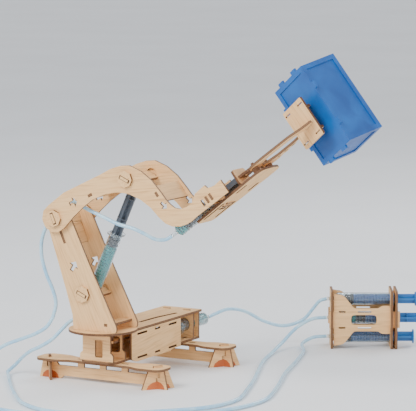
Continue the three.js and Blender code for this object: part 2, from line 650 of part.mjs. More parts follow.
// ---------------------------------------------------------------- lifted container
// In its own frame: X along the grip, Y deep, Z tall.
const load = new THREE.Group();
load.position.set(TAB_AT, 0, TAB_UP);
load.rotation.z = -rad(LOAD_TURN);
grip.add(load);

function loadTab() {
  const slots = [-20, 20].flatMap((z) => [-13.5, 13.5].map((x) => slotHole(x, z, 10, 1.8)));
  const tab = plate(outline(...boxCorners(40, 52, 2)), at(0, 0, 0), X, Z, SHEET, slots);
  const arms = [-15, 15].map((z) => {
    const arm = outline(...boxCorners(24, TAB_STANDOFF - GAP));
    return plate(arm, at(0, (TAB_STANDOFF - GAP) / 2, z), X, Y);
  });
  return joined(tab, ...arms);
}
piece("load_tab", "wood", loadTab(), load);

function container() {
  const [length, depth, height] = LOAD;
  const wall = 2.4;
  const frame = 6;
  const box = (l, d, h, y = 0) => new THREE.BoxGeometry(l, d, h).translate(0, y, 0);
  const inside = box(length - 2 * wall - 2, depth, height - 2 * wall - 2, wall + 1);
  const recesses = [
    box(length - 2 * frame, 2.4, height - 2 * frame, -depth / 2),
    ...[-1, 1].map((s) => box(2.4, depth - 2 * frame, height - 2 * frame).translate((s * length) / 2, 0, 0)),
    ...[-1, 1].map((s) => box(length - 2 * frame, depth - 2 * frame, 2.4).translate(0, 0, (s * height) / 2)),
  ];
  const shell = without(box(length, depth, height), inside, ...recesses);
  const nubs = [-1, 1].flatMap((s) => [
    box(9, 3, 5, -depth / 2 + 1.5).translate(s * 14, 0, height / 2 + 1.5),
    box(9, 3, 5, -depth / 2 + 1.5).translate(s * 14, 0, -height / 2 - 1.5),
    box(5, 3, 9, -depth / 2 + 1.5).translate(length / 2 + 1.5, 0, s * 26),
    box(5, 3, 9, -depth / 2 + 1.5).translate(-length / 2 - 1.5, 0, s * 26),
  ]);
  return joined(shell, ...nubs).translate(4, TAB_STANDOFF + depth / 2, 3);
}
piece("load_container", "load", container(), load);

// ---------------------------------------------------------------- hand controller
// In its own frame: X along its syringes, Z up.
const control = new THREE.Group();
control.position.set(CONTROL_AT[0], CONTROL_AT[1], 0);
control.rotation.z = rad(CONTROL_TURN);
kit.add(control);

const MID_Z = CONTROL_HEIGHT / 2;
const rowZ = [MID_Z + CONTROL_PITCH, MID_Z, MID_Z - CONTROL_PITCH];
const CONTROL_FLANGE = CONTROL_LENGTH - 10;

function controlSide(y) {
  const half = [
    [9, 35], [22, 33, 4], [36, 15.5, 3], [68, 15.5, 2], [73, 19, 2], [84, 19, 1], [84, 11], [97, 11],
  ];
  const shape = outline(
    ...half.map(([x, z, r]) => [x, MID_Z - z, r]),
    ...[...half].reverse().map(([x, z, r]) => [x, MID_Z + z, r]),
    [9, MID_Z + 11], [3, MID_Z + 11], [3, MID_Z - 11], [9, MID_Z - 11],
  );
  const holes = [
    slotHole(49, MID_Z, 34, 13, 0, 5),
    ...[-10.8, 10.8].flatMap((z) => [slotHole(20, MID_Z + z, 9, 2.2), slotHole(50, MID_Z + z, 18, 2.2)]),
  ];
  return upright(shape, y, holes);
}
piece("control_side_front", "wood", controlSide(-CONTROL_HALF), control);
piece("control_side_back", "wood", controlSide(CONTROL_HALF), control);

function controlEnd(x, halfWidth, holeRadius, notch) {
  const shape = outline(
    [-halfWidth, 0, 3], [halfWidth, 0, 3], [halfWidth, MID_Z - 18, 8], [halfWidth - notch, MID_Z, 8],
    [halfWidth, MID_Z + 18, 8], [halfWidth, CONTROL_HEIGHT, 3], [-halfWidth, CONTROL_HEIGHT, 3],
    [-halfWidth, MID_Z + 18, 8], [-halfWidth + notch, MID_Z, 8], [-halfWidth, MID_Z - 18, 8],
  );
  const holes = [
    ...rowZ.map((z) => roundHole(0, z, holeRadius)),
    ...[-1, 1].map((s) => slotHole(s * CONTROL_HALF, MID_Z, 22.6, SLOT, 90)),
  ];
  return lengthwise(shape, x, holes);
}
piece("control_end_nozzles", "wood", controlEnd(6.5, 23, 4.2, 0.5), control);
piece("control_retainer_inner", "wood", controlEnd(86, 26, BARREL_R + GAP, 2), control);
piece("control_retainer_outer", "wood", controlEnd(92.2, 26, 7.6, 2), control);

["swing", "lift", "gripper"].forEach((name, i) => {
  const backward = X.clone().negate();
  const thumb = at(CONTROL_FLANGE + DRAWN_OUT[i], 0, rowZ[i]);
  piece(`control_barrel_${name}`, "clear", barrel(at(CONTROL_FLANGE, 0, rowZ[i]), backward, Y), control);
  piece(`control_plunger_${name}`, "blue", plunger(thumb, backward), control);
});

// ---------------------------------------------------------------- hoses
const PORT_GAP = 0.8; // between a nozzle and its hose
const LYING = HOSE_R + 0.7; // centre line of a hose on the floor

function hose(name, points) {
  const path = new THREE.CatmullRomCurve3(points.map((p) => at(...p)), false, "centripetal");
  const steps = Math.min(80, Math.ceil(path.getLength() / (5 * HOSE_R)));
  const section = outline(...circle(0, 0, HOSE_R, 8));
  const options = { steps, bevelEnabled: false, extrudePath: path };
  piece(name, "hose", new THREE.ExtrudeGeometry(section, options));
}

// The end of a controller nozzle, in the kit's frame.
function controlPort(row) {
  const turn = rad(CONTROL_TURN);
  const reach = CONTROL_FLANGE - BARREL_LENGTH - NOZZLE_LENGTH - PORT_GAP;
  return [CONTROL_AT[0] + reach * Math.cos(turn), CONTROL_AT[1] + reach * Math.sin(turn), rowZ[row]];
}

const liftPort = alongLift(2.5 - NOZZLE_LENGTH - PORT_GAP);
const gripPort = fromGrip(-25 - BARREL_LENGTH - NOZZLE_LENGTH - PORT_GAP, 0, 0);
const swingPort = swingFlange.y + BARREL_LENGTH + NOZZLE_LENGTH + PORT_GAP;

hose("hose_swing", [
  [CRANK_R, swingPort, SYRINGE_Z], [14, 260, 49], [22, 284, 53], [34, 306, 48], [52, 330, 32], [72, 348, 25],
  [94, 360, 33], [110, 360, 50], [121, 358, 61.5], controlPort(0),
]);

hose("hose_lift_tower", [
  liftPort.toArray(), [-18, -1, 102], [-24, -3, 91], [-33, -6, 82], [-43, -10, 75], [-51, -15, 66],
]);
hose("hose_lift_line", [
  [-51.5, -15.4, 65.4], [-60, -23, 54], [-75, -27, 44], [-95, -19, 35], [-116, -6, 23], [-130, -2, 11],
  [-131, -18, 5], [-115, -40, LYING], [-84, -82, LYING], [-51, -123, LYING], [-8, -168, LYING],
  [45, -190, LYING], [105, -168, LYING], [160, -122, LYING], [195, -75, LYING], [202, -22, LYING],
  [184, 37, LYING], [160, 100, LYING], [137, 154, LYING], [112, 215, LYING], [96, 268, LYING],
  [90, 310, 10], [98, 338, 27], [113, 353, 37], controlPort(1),
]);

hose("hose_gripper_boom", [
  gripPort.toArray(), [93, -3, 188], [83, -10, 188], [70, -16, 195], [55, -19, 201], [35, -20, 205],
  [12, -20, 213], [-6, -19, 219], [-22, -16, 224], [-36, -12.5, 228], [-50, -10, 229],
]);
hose("hose_gripper_tower", [
  [-52.8, -9.9, 228.4], [-61, -10.5, 224], [-70, -11, 212], [-75, -12, 195], [-82, -12, 175], [-82, -12, 155],
  [-75, -13, 134], [-65, -14, 115], [-59, -16, 98], [-61, -20, 81],
]);
hose("hose_gripper_line", [
  [-61.4, -20.8, 79.6], [-67, -26, 69], [-81, -29, 60], [-106, -24, 50], [-135, -22, 38], [-154, -36, 22],
  [-158, -68, 8], [-134, -120, LYING], [-84, -178, LYING], [-24, -208, LYING], [50, -210, LYING],
  [120, -185, LYING], [180, -135, LYING], [222, -75, LYING], [232, -10, LYING], [212, 60, LYING],
  [174, 159, LYING], [150, 235, LYING], [124, 305, LYING], [106, 338, 6], [114, 353, 12], controlPort(2),
]);

export default kit;
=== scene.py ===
import math

import bmesh
import bpy
import numpy as np
from mathutils import Matrix, Vector


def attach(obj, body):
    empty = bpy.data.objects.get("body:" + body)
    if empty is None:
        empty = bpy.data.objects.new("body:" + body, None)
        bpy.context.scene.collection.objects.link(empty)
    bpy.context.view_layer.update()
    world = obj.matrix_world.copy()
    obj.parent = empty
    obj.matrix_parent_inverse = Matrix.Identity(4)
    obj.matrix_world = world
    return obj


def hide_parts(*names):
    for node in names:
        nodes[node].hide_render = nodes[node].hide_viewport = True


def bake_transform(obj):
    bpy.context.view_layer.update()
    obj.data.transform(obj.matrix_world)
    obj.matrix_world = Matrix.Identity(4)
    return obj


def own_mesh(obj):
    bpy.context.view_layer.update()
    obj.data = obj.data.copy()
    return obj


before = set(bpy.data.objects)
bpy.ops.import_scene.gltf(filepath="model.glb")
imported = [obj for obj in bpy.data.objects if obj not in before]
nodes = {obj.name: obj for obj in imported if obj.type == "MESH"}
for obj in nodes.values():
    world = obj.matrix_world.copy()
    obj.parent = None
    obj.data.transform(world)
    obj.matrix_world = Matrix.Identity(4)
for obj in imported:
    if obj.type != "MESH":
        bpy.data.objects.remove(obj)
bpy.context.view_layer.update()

# ---- sizes and places, in millimetres as the CAD source gives them
MM = 0.001
ORIGIN = Vector((-131.4, -196.92, 0.0))  # the swing axis is the millimetre frame's origin
BARREL_R, BORE_R, BARREL_LENGTH = 8.2, 7.1, 80.0
NOZZLE_R, NOZZLE_LENGTH = 2.4, 9.0
FLANGE_HALF = 14.0
PLUNGER_LENGTH, THUMB_R, PISTON_R = 96.0, 9.5, 6.8
HOSE_R, LYING = 2.3, 3.0
FOOT_X, FOOT_TURN, REAR_Y, SHEET = 79.0, 54.0, 169.0, 3.0
BEAM_ARCH, BEAM_ARCH_IN, CROSS_ARCH, ARCH_HEIGHT = 12.5, 2.0, 16.0, 10.0
CLEARANCE = 0.3
RIB_HALF_THICK, RIB_HALF_WIDE = 1.5, 6.3
SLOT_HALF_LONG, SLOT_HALF_WIDE, SLOT_DEPTH = 7.6, 2.3, 0.32
BOOM_PIVOT, BOOM_PIVOT_TURN = Vector((-50, 0, 208)), 113.0
GRIP_POINT, GRIP_ANGLE = (190.0, 0.0, 263.0), 38.0
LIFT_LOW, LIFT_TOP = Vector((-13, 0, 115)), Vector((53, 0, 263))
CONTROL_AT, CONTROL_TURN, CONTROL_FLANGE = (129.0, 362.0), 29.3, 90.0
ROW_Z = (64.5, 39.0, 13.5)
DRAWN_OUT = (30.0, 46.0, 27.0)

X, Y, Z = Vector((1, 0, 0)), Vector((0, 1, 0)), Vector((0, 0, 1))
grip_f = Vector((math.cos(math.radians(GRIP_ANGLE)), 0, math.sin(math.radians(GRIP_ANGLE))))
grip_n = Vector((-grip_f.z, 0, grip_f.x))
lift_dir = (LIFT_TOP - LIFT_LOW).normalized()
turn = math.radians(CONTROL_TURN)
control_x = Vector((math.cos(turn), math.sin(turn), 0))
control_y = Vector((-math.sin(turn), math.cos(turn), 0))


def row(point):
    return (Vector(point) + ORIGIN) * MM


def along_grip(s, across=0.0, up=0.0):
    return Vector(GRIP_POINT) + s * grip_f + across * Y + up * grip_n


def along_lift(s):
    return LIFT_LOW + s * lift_dir


def in_control(x, y, z):
    return Vector((*CONTROL_AT, 0)) + x * control_x + y * control_y + Vector((0, 0, z))


# ---- camera
AZIMUTH, ELEVATION = math.radians(29.3), math.radians(7.5)
EYE = (1737.0, -2828.0, 660.1)
FOCAL_PX, IMAGE_WIDTH, SENSOR = 2700.0, 416, 36.0
camera = bpy.data.cameras.new("camera")
camera.sensor_width = SENSOR
camera.sensor_fit = "HORIZONTAL"
camera.lens = SENSOR * FOCAL_PX / IMAGE_WIDTH
camera.clip_end = 100
camera_object = bpy.data.objects.new("camera", camera)
bpy.context.scene.collection.objects.link(camera_object)
right = Vector((math.cos(AZIMUTH), math.sin(AZIMUTH), 0))
level = math.cos(ELEVATION)
back = Vector((math.sin(AZIMUTH) * level, -math.cos(AZIMUTH) * level, math.sin(ELEVATION)))
up = back.cross(right)
camera_object.matrix_world = Matrix.Translation(row(EYE)) @ Matrix((right, up, back)).transposed().to_4x4()
bpy.context.scene.camera = camera_object


# ---- materials
class Nodes:
    """A material's node tree, with short calls for the few nodes that this scene uses."""

    def __init__(self, name):
        self.material = bpy.data.materials.new(name)
        self.material.use_nodes = True
        self.tree = self.material.node_tree
        self.shader = self.tree.nodes["Principled BSDF"]

    def link(self, value, socket):
        if isinstance(value, bpy.types.NodeSocket):
            self.tree.links.new(value, socket)
        else:
            socket.default_value = value

    def coordinates(self, output="Object"):
        return self.tree.nodes.new("ShaderNodeTexCoord").outputs[output]

    def math(self, operation, a, b=0.0):
        node = self.tree.nodes.new("ShaderNodeMath")
        node.operation = operation
        self.link(a, node.inputs[0])
        self.link(b, node.inputs[1])
        return node.outputs[0]

    def dot(self, vector, direction):
        node = self.tree.nodes.new("ShaderNodeVectorMath")
        node.operation = "DOT_PRODUCT"
        self.link(vector, node.inputs[0])
        node.inputs[1].default_value = tuple(direction)
        return node.outputs["Value"]

    def combine(self, *parts):
        node = self.tree.nodes.new("ShaderNodeCombineXYZ")
        for part, socket in zip(parts, node.inputs):
            self.link(part, socket)
        return node.outputs[0]

    def noise(self, vector, scale, detail=3.0, distortion=0.0):
        node = self.tree.nodes.new("ShaderNodeTexNoise")
        self.link(vector, node.inputs["Vector"])
        node.inputs["Scale"].default_value = scale
        node.inputs["Detail"].default_value = detail
        node.inputs["Distortion"].default_value = distortion
        return node.outputs["Fac"]

    def ramp(self, value, *stops):
        node = self.tree.nodes.new("ShaderNodeValToRGB")
        self.link(value, node.inputs[0])
        elements = node.color_ramp.elements
        while len(elements) < len(stops):
            elements.new(0.5)
        for element, (position, colour) in zip(elements, stops):
            element.position, element.color = position, (*colour, 1)
        return node.outputs[0]

    def mix(self, share, a, b):
        node = self.tree.nodes.new("ShaderNodeMix")
        node.data_type = "RGBA"
        self.link(share, node.inputs["Factor"])
        for value, socket in ((a, node.inputs[6]), (b, node.inputs[7])):
            self.link(value if isinstance(value, bpy.types.NodeSocket) else (*value, 1), socket)
        return node.outputs[2]

    def range(self, value, low, high):
        node = self.tree.nodes.new("ShaderNodeMapRange")
        self.link(value, node.inputs["Value"])
        node.inputs["From Min"].default_value, node.inputs["From Max"].default_value = 0.25, 0.75
        node.inputs["To Min"].default_value, node.inputs["To Max"].default_value = low, high
        return node.outputs[0]

    def bump(self, height, strength, distance):
        node = self.tree.nodes.new("ShaderNodeBump")
        self.link(height, node.inputs["Height"])
        node.inputs["Strength"].default_value = strength
        node.inputs["Distance"].default_value = distance
        self.link(node.outputs[0], self.shader.inputs["Normal"])

    def set(self, **values):
        for name, value in values.items():
            self.link(value, self.shader.inputs[name.replace("_", " ")])
        return self.material


WOOD_LIGHT, WOOD_MID, WOOD_DARK = (0.87, 0.54, 0.25), (0.77, 0.45, 0.19), (0.56, 0.30, 0.115)
BURNT, BURNT_SOFT = (0.070, 0.028, 0.012), (0.20, 0.095, 0.042)


def plywood(name, faces, middle, grain):
    """Sheet faces with grain, and laser-burnt edges where the surface faces away from the face normals."""
    n = Nodes("plywood_" + name)
    place, normal = n.coordinates(), n.coordinates("Normal")
    across = faces[0].cross(grain).normalized()
    shares = [n.dot(place, axis) for axis in (grain, across, faces[0])]
    seed = sum(map(ord, name)) % 97
    stretched = [n.math("MULTIPLY_ADD", s, k) for s, k in zip(shares, (28, 520, 520))]
    streaks = n.noise(n.combine(*stretched), 1, 5, 0.7)
    along, over = n.math("ADD", n.math("MULTIPLY", shares[0], 7), seed), n.math("MULTIPLY", shares[1], 60)
    bands = n.noise(n.combine(along, over), 1, 2, 1.2)
    wood = n.ramp(streaks, (0.28, WOOD_DARK), (0.47, WOOD_MID), (0.72, WOOD_LIGHT))
    wood = n.mix(n.range(bands, 0.0, 0.4), wood, (0.90, 0.60, 0.31))
    depth = n.math("ABSOLUTE", n.math("SUBTRACT", shares[2], faces[0].dot(middle)))
    core = n.math("LESS_THAN", depth, 0.0006)
    soot = n.noise(place, 900, 4)
    edge = n.mix(n.range(soot, 0.1, 0.9), BURNT, BURNT_SOFT)
    edge = n.mix(n.math("MULTIPLY", core, 0.45), edge, (0.30, 0.16, 0.075))
    facing = n.math("ABSOLUTE", n.dot(normal, faces[0]))
    for other in faces[1:]:
        facing = n.math("MAXIMUM", facing, n.math("ABSOLUTE", n.dot(normal, other)))
    on_face = n.math("GREATER_THAN", facing, 0.86)
    n.bump(n.math("ADD", streaks, n.math("MULTIPLY", soot, 0.3)), 0.25, 0.0003)
    colour, rough = n.mix(on_face, edge, wood), n.range(streaks, 0.56, 0.74)
    return n.set(Base_Color=colour, Roughness=rough, Specular_IOR_Level=0.35)


def clear_plastic():
    n = Nodes("clear_plastic")
    haze = n.noise(n.coordinates(), 160, 3)
    n.bump(haze, 0.06, 0.0003)
    return n.set(
        Base_Color=n.ramp(haze, (0.3, (0.80, 0.91, 0.95)), (0.7, (0.93, 0.98, 1.0))),
        Roughness=n.range(haze, 0.05, 0.16), Transmission_Weight=0.94, IOR=1.38, Coat_Weight=0.3,
    )


def water():
    n = Nodes("coloured_water")
    swirl = n.noise(n.coordinates(), 45, 3, 1.5)
    return n.set(
        Base_Color=n.ramp(swirl, (0.3, (0.0, 0.33, 0.33)), (0.7, (0.01, 0.52, 0.49))),
        Roughness=n.range(swirl, 0.05, 0.12), Transmission_Weight=0.12, IOR=1.33,
    )


def moulded(name, low, high, roughness=(0.32, 0.46), grain=900, bump=0.12):
    """Injection-moulded plastic: a fine eggshell texture and a slow drift of colour."""
    n = Nodes(name)
    place = n.coordinates()
    drift, fine = n.noise(place, 30, 2, 0.5), n.noise(place, grain, 4)
    n.bump(fine, bump, 0.0002)
    colour, rough = n.ramp(drift, (0.3, low), (0.7, high)), n.range(fine, *roughness)
    return n.set(Base_Color=colour, Roughness=rough, Specular_IOR_Level=0.5)


def tubing():
    n = Nodes("soft_clear_tubing")
    drift = n.noise(n.coordinates(), 55, 3, 0.8)
    n.bump(drift, 0.08, 0.0004)
    return n.set(
        Base_Color=n.ramp(drift, (0.3, (0.34, 0.66, 0.92)), (0.7, (0.56, 0.84, 0.98))),
        Roughness=n.range(drift, 0.12, 0.26), Transmission_Weight=0.15, IOR=1.4, Coat_Weight=0.5,
    )


CLEAR, WATER, TUBING = clear_plastic(), water(), tubing()
SLATE = moulded("slate_plastic", (0.055, 0.070, 0.090), (0.085, 0.103, 0.128))
BLUE = moulded("blue_plastic", (0.010, 0.12, 0.38), (0.020, 0.18, 0.50))
RUBBER = moulded("piston_rubber", (0.012, 0.013, 0.015), (0.028, 0.030, 0.034), (0.5, 0.7), 1400, 0.2)
PAD = moulded("pad_rubber", (0.44, 0.095, 0.020), (0.58, 0.150, 0.036), (0.5, 0.66), 1100, 0.25)
CONTAINER = moulded("container_plastic", (0.0, 0.060, 0.26), (0.0, 0.108, 0.40), (0.38, 0.52), 700, 0.18)
INK = moulded("scale_ink", (0.01, 0.016, 0.03), (0.03, 0.04, 0.06), (0.4, 0.55))
CHAR = moulded("charred_slot", (0.022, 0.010, 0.006), (0.085, 0.036, 0.016), (0.7, 0.9), 1200, 0.3)

# ---- plates keep their CAD shapes and get plywood
SECOND_FACE = {
    "boom_pivot_tongue": [Y], "lift_cradle": [Y], "lift_head_tongue": [Y], "swing_yoke": [Y],
    "gripper_crosshead": [grip_f], "load_tab": [grip_n],
}


def face_normal(mesh):
    """The direction that most of a plate's area faces."""
    best, directions = {}, {}
    for polygon in mesh.polygons:
        d = polygon.normal if max(polygon.normal, key=abs) > 0 else -polygon.normal
        key = tuple(round(v * 40) for v in d)
        best[key] = best.get(key, 0.0) + polygon.area
        directions[key] = d.copy()
    return directions[max(best, key=best.get)].normalized()


for name, node in nodes.items():
    if any(word in name for word in ("barrel", "plunger", "hose", "container")):
        continue
    main = face_normal(node.data)
    points = np.array([v.co for v in node.data.vertices])
    flat = points - np.outer(points @ np.array(main), np.array(main))
    _, _, axes = np.linalg.svd(flat - flat.mean(0), full_matrices=False)
    low, high = (points @ np.array(main)).min(), (points @ np.array(main)).max()
    middle = (low + high) / 2 * main
    node.data.materials.clear()
    node.data.materials.append(plywood(name, [main, *SECOND_FACE.get(name, [])], middle, Vector(axes[0])))

container = nodes["load_container"]
container.data.materials.clear()
container.data.materials.append(CONTAINER)
rounding = container.modifiers.new("moulded_edges", "BEVEL")
rounding.width, rounding.segments = 0.6 * MM, 2
rounding.limit_method, rounding.angle_limit = "ANGLE", math.radians(40)


# ---- mesh helpers
def make(name, vertices, faces, material, smooth=32.0, bevel=0.0):
    mesh = bpy.data.meshes.new(name)
    mesh.from_pydata([tuple(v) for v in vertices], [], faces)
    mesh.validate()
    tidy = bmesh.new()
    tidy.from_mesh(mesh)
    bmesh.ops.recalc_face_normals(tidy, faces=tidy.faces)
    tidy.to_mesh(mesh)
    tidy.free()
    mesh.shade_smooth()
    mesh.set_sharp_from_angle(angle=math.radians(smooth))
    mesh.materials.append(material)
    obj = bpy.data.objects.new(name, mesh)
    bpy.context.scene.collection.objects.link(obj)
    if bevel:
        soft = obj.modifiers.new("edges", "BEVEL")
        soft.width, soft.segments, soft.limit_method = bevel * MM, 2, "ANGLE"
    return obj


def basis(axis, across):
    across = (across - across.dot(axis) * axis).normalized()
    return across, axis.cross(across)


def lathe(profile, start, axis, sides=48):
    """Vertices and faces of a turned shape; a profile point on the axis closes that end."""
    u, v = basis(axis, Y if abs(axis.y) < 0.9 else X)
    vertices, faces, rings = [], [], []
    for r, s in profile:
        ring = []
        for i in range(sides if r > 0 else 1):
            angle = 2 * math.pi * i / sides
            ring.append(len(vertices))
            vertices.append(row(start + s * axis + r * (math.cos(angle) * u + math.sin(angle) * v)))
        rings.append(ring)
    for a, b in zip(rings, rings[1:]):
        for i in range(sides):
            j = (i + 1) % sides
            quad = [a[i % len(a)], a[j % len(a)], b[j % len(b)], b[i % len(b)]]
            faces.append(list(dict.fromkeys(quad)))
    return vertices, faces


def merged(*parts):
    vertices, faces = [], []
    for part_vertices, part_faces in parts:
        shift = len(vertices)
        vertices += part_vertices
        faces += [[i + shift for i in face] for face in part_faces]
    return vertices, faces


def prism(corners, start, axis, u, v, length):
    """A flat outline in u and v, pushed along axis."""
    count = len(corners)
    ends = [[row(start + s * axis + a * u + b * v) for a, b in corners] for s in (0, length)]
    faces = [list(range(count)), list(range(2 * count - 1, count - 1, -1))]
    faces += [[i, (i + 1) % count, count + (i + 1) % count, count + i] for i in range(count)]
    return ends[0] + ends[1], faces


# ---- syringes
def flange_ring(flange, axis, across):
    """The two-winged finger flange round the barrel's open end."""
    u, v = basis(axis, across)
    sides, reach = 64, (FLANGE_HALF, BARREL_R - 0.4)
    vertices, faces = [], []
    levels = ((0.0, 0.35), (0.35, 0.0), (1.65, 0.0), (2.0, 0.35))
    for s, inset in levels:
        for i in range(sides):
            angle = 2 * math.pi * i / sides
            c, d = math.cos(angle), math.sin(angle)
            wing = (abs(c / reach[0]) ** 4 + abs(d / reach[1]) ** 4) ** -0.25
            outer = max(wing, BARREL_R + 0.2) - inset
            vertices.append(row(flange + s * axis + outer * (c * u + d * v)))
    base = len(vertices)
    for s in (0.0, 2.0):
        for i in range(sides):
            angle = 2 * math.pi * i / sides
            outward = math.cos(angle) * u + math.sin(angle) * v
            vertices.append(row(flange + s * axis + (BARREL_R - 0.5) * outward))
    loops = [list(range(k * sides, (k + 1) * sides)) for k in range(4)]
    loops = [list(range(base, base + sides)), *loops, list(range(base + sides, base + 2 * sides))]
    loops.append(loops[0])
    for a, b in zip(loops, loops[1:]):
        for i in range(sides):
            j = (i + 1) % sides
            faces.append([a[i], a[j], b[j], b[i]])
    return vertices, faces


def barrel(name, node, body, flange, axis, across):
    """A clear barrel with its flange and nozzle, and a printed scale of plain lines."""
    length = BARREL_LENGTH
    profile = [
        (0, length - 3), (BORE_R - 2.5, length - 3.3), (BORE_R, length - 5), (BORE_R, 0.4),
        (BORE_R + 0.3, 0), (BARREL_R - 0.3, 0),
        (BARREL_R, 0.4), (BARREL_R, length - 4.4), (BARREL_R - 0.5, length - 3.6),
        (NOZZLE_R + 1.6, length - 0.4),
        (NOZZLE_R + 0.9, length), (NOZZLE_R + 0.25, length + 1.2), (NOZZLE_R, length + NOZZLE_LENGTH - 0.5),
        (NOZZLE_R - 0.4, length + NOZZLE_LENGTH), (0, length + NOZZLE_LENGTH),
    ]
    obj = make(name, *merged(lathe(profile, flange, axis, 56), flange_ring(flange, axis, across)), CLEAR)
    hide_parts(node)
    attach(obj, body)
    u, v = basis(axis, across)
    ticks = []
    for i in range(17):
        s = 8 + 4 * i
        half = math.radians(48 if i % 4 == 0 else 26)
        steps = 10
        corners, faces = [], []
        for k in range(steps + 1):
            angle = math.radians(-90) + half * (2 * k / steps - 1)
            first, second = (v, u) if abs(across.y) > 0.5 else (u, v)
            out = math.cos(angle) * first + math.sin(angle) * second
            for r in (BARREL_R - 0.02, BARREL_R + 0.08):
                for t in (-0.22, 0.22):
                    corners.append(row(flange + (s + t) * axis + r * out))
        for k in range(steps):
            a, b = 4 * k, 4 * (k + 1)
            faces += [[a, a + 1, b + 1, b], [a + 2, b + 2, b + 3, a + 3]]
            faces += [[a, b, b + 2, a + 2], [a + 1, a + 3, b + 3, b + 1]]
        faces += [[0, 2, 3, 1], [4 * steps, 4 * steps + 1, 4 * steps + 3, 4 * steps + 2]]
        ticks.append((corners, faces))
    scale = make(name + "_scale", *merged(*ticks), INK)
    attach(scale, body)


def plunger(name, node, body, thumb, axis, material):
    """A ribbed plastic rod with its thumb disc, and a rubber piston with two seals."""
    u, v = basis(axis, Y if abs(axis.y) < 0.9 else X)
    c, w = RIB_HALF_THICK, RIB_HALF_WIDE
    cross = [(-c, -w), (c, -w), (c, -c), (w, -c), (w, c), (c, c)]
    cross += [(c, w), (-c, w), (-c, c), (-w, c), (-w, -c), (-c, -c)]
    rod = prism(cross, thumb + 1.5 * axis, axis, u, v, PLUNGER_LENGTH - 13.5)
    disc = lathe([
        (0, 0.5), (5.4, 0.5), (5.9, 0.0), (THUMB_R - 0.6, 0), (THUMB_R, 0.5), (THUMB_R, 1.5),
        (THUMB_R - 0.5, 2.0),
        (6.4, 2.1), (5.6, 3.0), (0, 3.0),
    ], thumb, axis, 56)
    ring = [(0, 0), (6.4, 0), (6.6, 0.3), (6.6, 0.9), (6.4, 1.2), (0, 1.2)]
    rings = [
        lathe([(r, s + t) for r, t in ring], thumb, axis, 40)
        for s in (28, 56, PLUNGER_LENGTH - 13.5)
    ]
    obj = make(name, *merged(rod, disc, *rings), material)
    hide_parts(node)
    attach(obj, body)
    start = PLUNGER_LENGTH - 12
    lip = PISTON_R + 0.2
    seal = [(0, start), (5.6, start), (6.3, start + 0.3), (lip, start + 1.0), (lip, start + 2.4)]
    seal += [(6.0, start + 3.2), (6.0, start + 7.2), (lip, start + 8.0), (lip, start + 9.4)]
    seal += [(6.2, start + 10.2), (4.2, start + 11.4), (0, start + 12)]
    piston = make(name + "_piston", *lathe(seal, thumb, axis), RUBBER)
    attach(piston, body)


def column(name, body, start, axis, length):
    """The water between a piston and the nozzle end of its barrel."""
    r = BORE_R - 0.12
    profile = [(0, 0), (r - 0.6, 0.1), (r, 0.5), (r, length - 1.6), (r - 2.0, length - 0.2), (0, length)]
    obj = make(name, *lathe(profile, start, axis), WATER)
    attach(obj, body)
    return obj


swing_flange = Vector((12, 157, 47))
barrel("syringe_swing", "swing_barrel", "base", swing_flange, Y, X)
plunger("swing_rod", "swing_plunger", "swing_slider", Vector((12, 98, 47)), Y, SLATE)
swing_water = column("swing_water", "base", Vector((12, 194.6, 47)), Y, 38.8)
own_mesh(swing_water)

lift_down = -lift_dir
barrel("syringe_lift", "lift_barrel", "lift_cylinder", along_lift(82.5), lift_down, Y)
lift_length = (LIFT_TOP - LIFT_LOW).length
lift_thumb = along_lift(lift_length - 1.8)
plunger("lift_rod_ribbed", "lift_plunger", "lift_rod", lift_thumb, lift_down, SLATE)
lift_start = lift_length - 1.8 - PLUNGER_LENGTH - 0.6
lift_water = column("lift_water", "lift_cylinder", along_lift(lift_start), lift_down, lift_start - 6.0)
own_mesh(lift_water)

barrel("syringe_gripper", "gripper_barrel", "boom", along_grip(-25), -grip_f, Y)
plunger("gripper_rod", "gripper_plunger", "gripper_slider", along_grip(8), -grip_f, SLATE)
column("gripper_water", "boom", along_grip(-88.8), -grip_f, 13.0)

for i, which in enumerate(("swing", "lift", "gripper")):
    flange = in_control(CONTROL_FLANGE, 0, ROW_Z[i])
    barrel(f"controller_syringe_{which}", f"control_barrel_{which}", "base", flange, -control_x, control_y)
    thumb = in_control(CONTROL_FLANGE + DRAWN_OUT[i], 0, ROW_Z[i])
    node, body = f"control_plunger_{which}", f"control_{which}"
    plunger(f"controller_rod_{which}", node, body, thumb, -control_x, BLUE)
    start = CONTROL_FLANGE + DRAWN_OUT[i] - PLUNGER_LENGTH - (7.0 if which == "swing" else 0.6)
    if start > 18:
        column(f"controller_water_{which}", "base", in_control(start, 0, ROW_Z[i]), -control_x, start - 13.6)


# ---- orange pads under the feet, each half an ellipse
def half_round(name, centre, direction, half_width):
    steps, side = 24, direction.cross(Z)
    angles = [math.pi * k / steps for k in range(steps + 1)]
    wide, high = half_width - CLEARANCE, ARCH_HEIGHT - CLEARANCE
    arc = [(wide * math.cos(a), high * math.sin(a)) for a in angles]
    shape = prism(arc, centre - 1.9 * side, side, direction, Z, 3.8)
    obj = make(name, *shape, PAD, bevel=0.5)
    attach(obj, "base")


for where, y in (("front", 0.0), ("rear", REAR_Y)):
    for which, x in (("left", -FOOT_X), ("right", FOOT_X)):
        angle = math.radians(FOOT_TURN)
        across_foot = Vector((math.copysign(math.cos(angle), x), math.sin(angle), 0))
        along = Vector((x - math.copysign(BEAM_ARCH_IN, x), y, 0))
        half_round(f"pad_{where}_{which}_along", along, X, BEAM_ARCH)
        half_round(f"pad_{where}_{which}_cross", Vector((x, y, 0)), across_foot, CROSS_ARCH)


